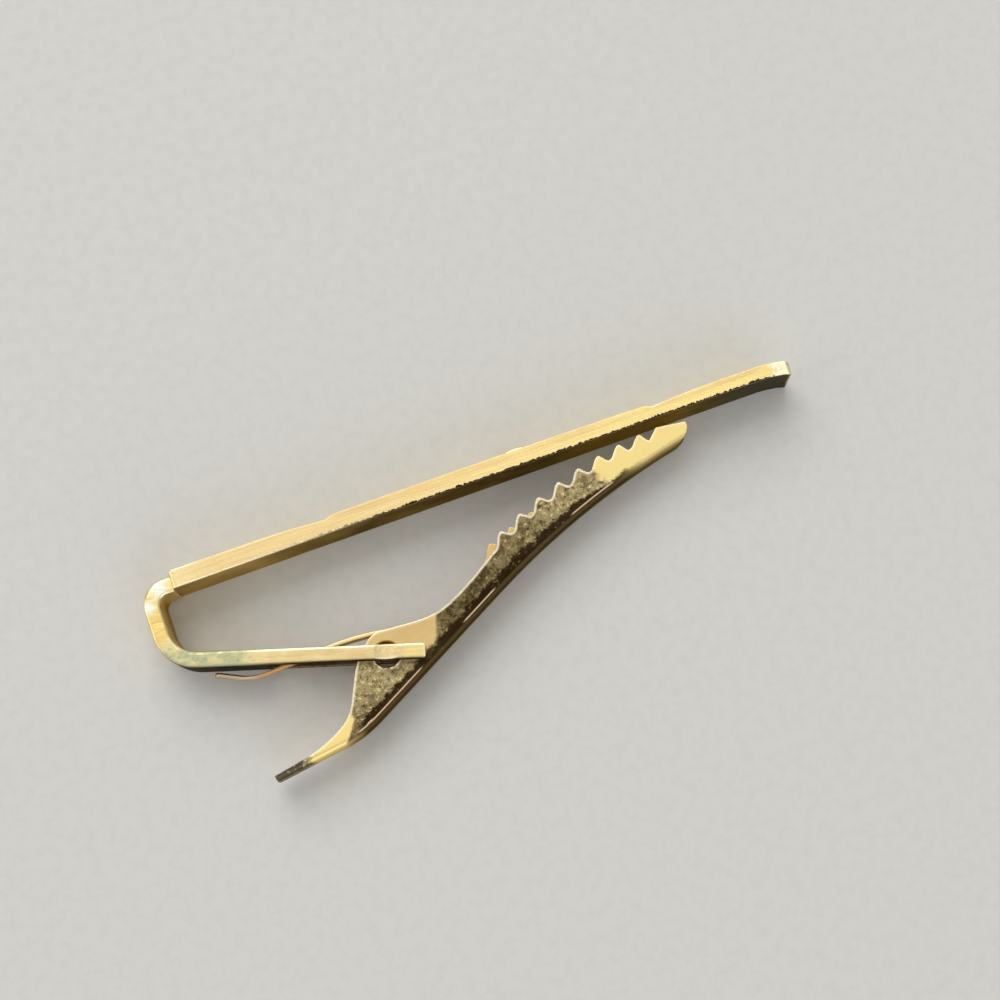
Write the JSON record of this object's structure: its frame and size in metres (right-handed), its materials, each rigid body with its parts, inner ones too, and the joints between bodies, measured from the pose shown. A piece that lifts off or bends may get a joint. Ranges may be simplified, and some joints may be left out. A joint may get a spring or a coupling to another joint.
{
  "type": "tie clip",
  "caption": "Sprung tie clip: a slim front bar with a plain boss, a bent back strip with a forked leg, and a toothed channel jaw that pivots in the fork and closes on the bar.",
  "frame": {"origin": "under the middle of the whole clip, on the surface that it lies on", "axes": "+X along the front bar towards its free tip, +Y out of the bar's front face, +Z across the bar's width, which is up as the clip lies on its side edge"},
  "size_m": [0.0638, 0.022, 0.0056],
  "materials": {
    "bar_gold": "polished gold plate, lightly worn",
    "strip_gold": "worn gold plate with some greenish tarnish",
    "jaw_gold": "gold plate, pitted and dull at the middle",
    "spring_copper": "bare copper-coloured spring bronze"
  },
  "bodies": {
    "holder": {"front_bar": "bar_gold", "centre_boss": "bar_gold", "back_frame": "strip_gold"},
    "clamp_jaw": {"jaw": "jaw_gold", "leaf_spring": "spring_copper"}
  },
  "joints": [
    {"name": "jaw_pivot", "type": "hinge", "parent": "holder", "child": "clamp_jaw", "pos_m": [-0.0122, -0.00333, 0.0028], "axis": [0, 0, 1], "range_deg": [-24, 1], "stiffness_Nm_per_rad": 0.05, "deforming": ["leaf_spring"]}
  ]
}
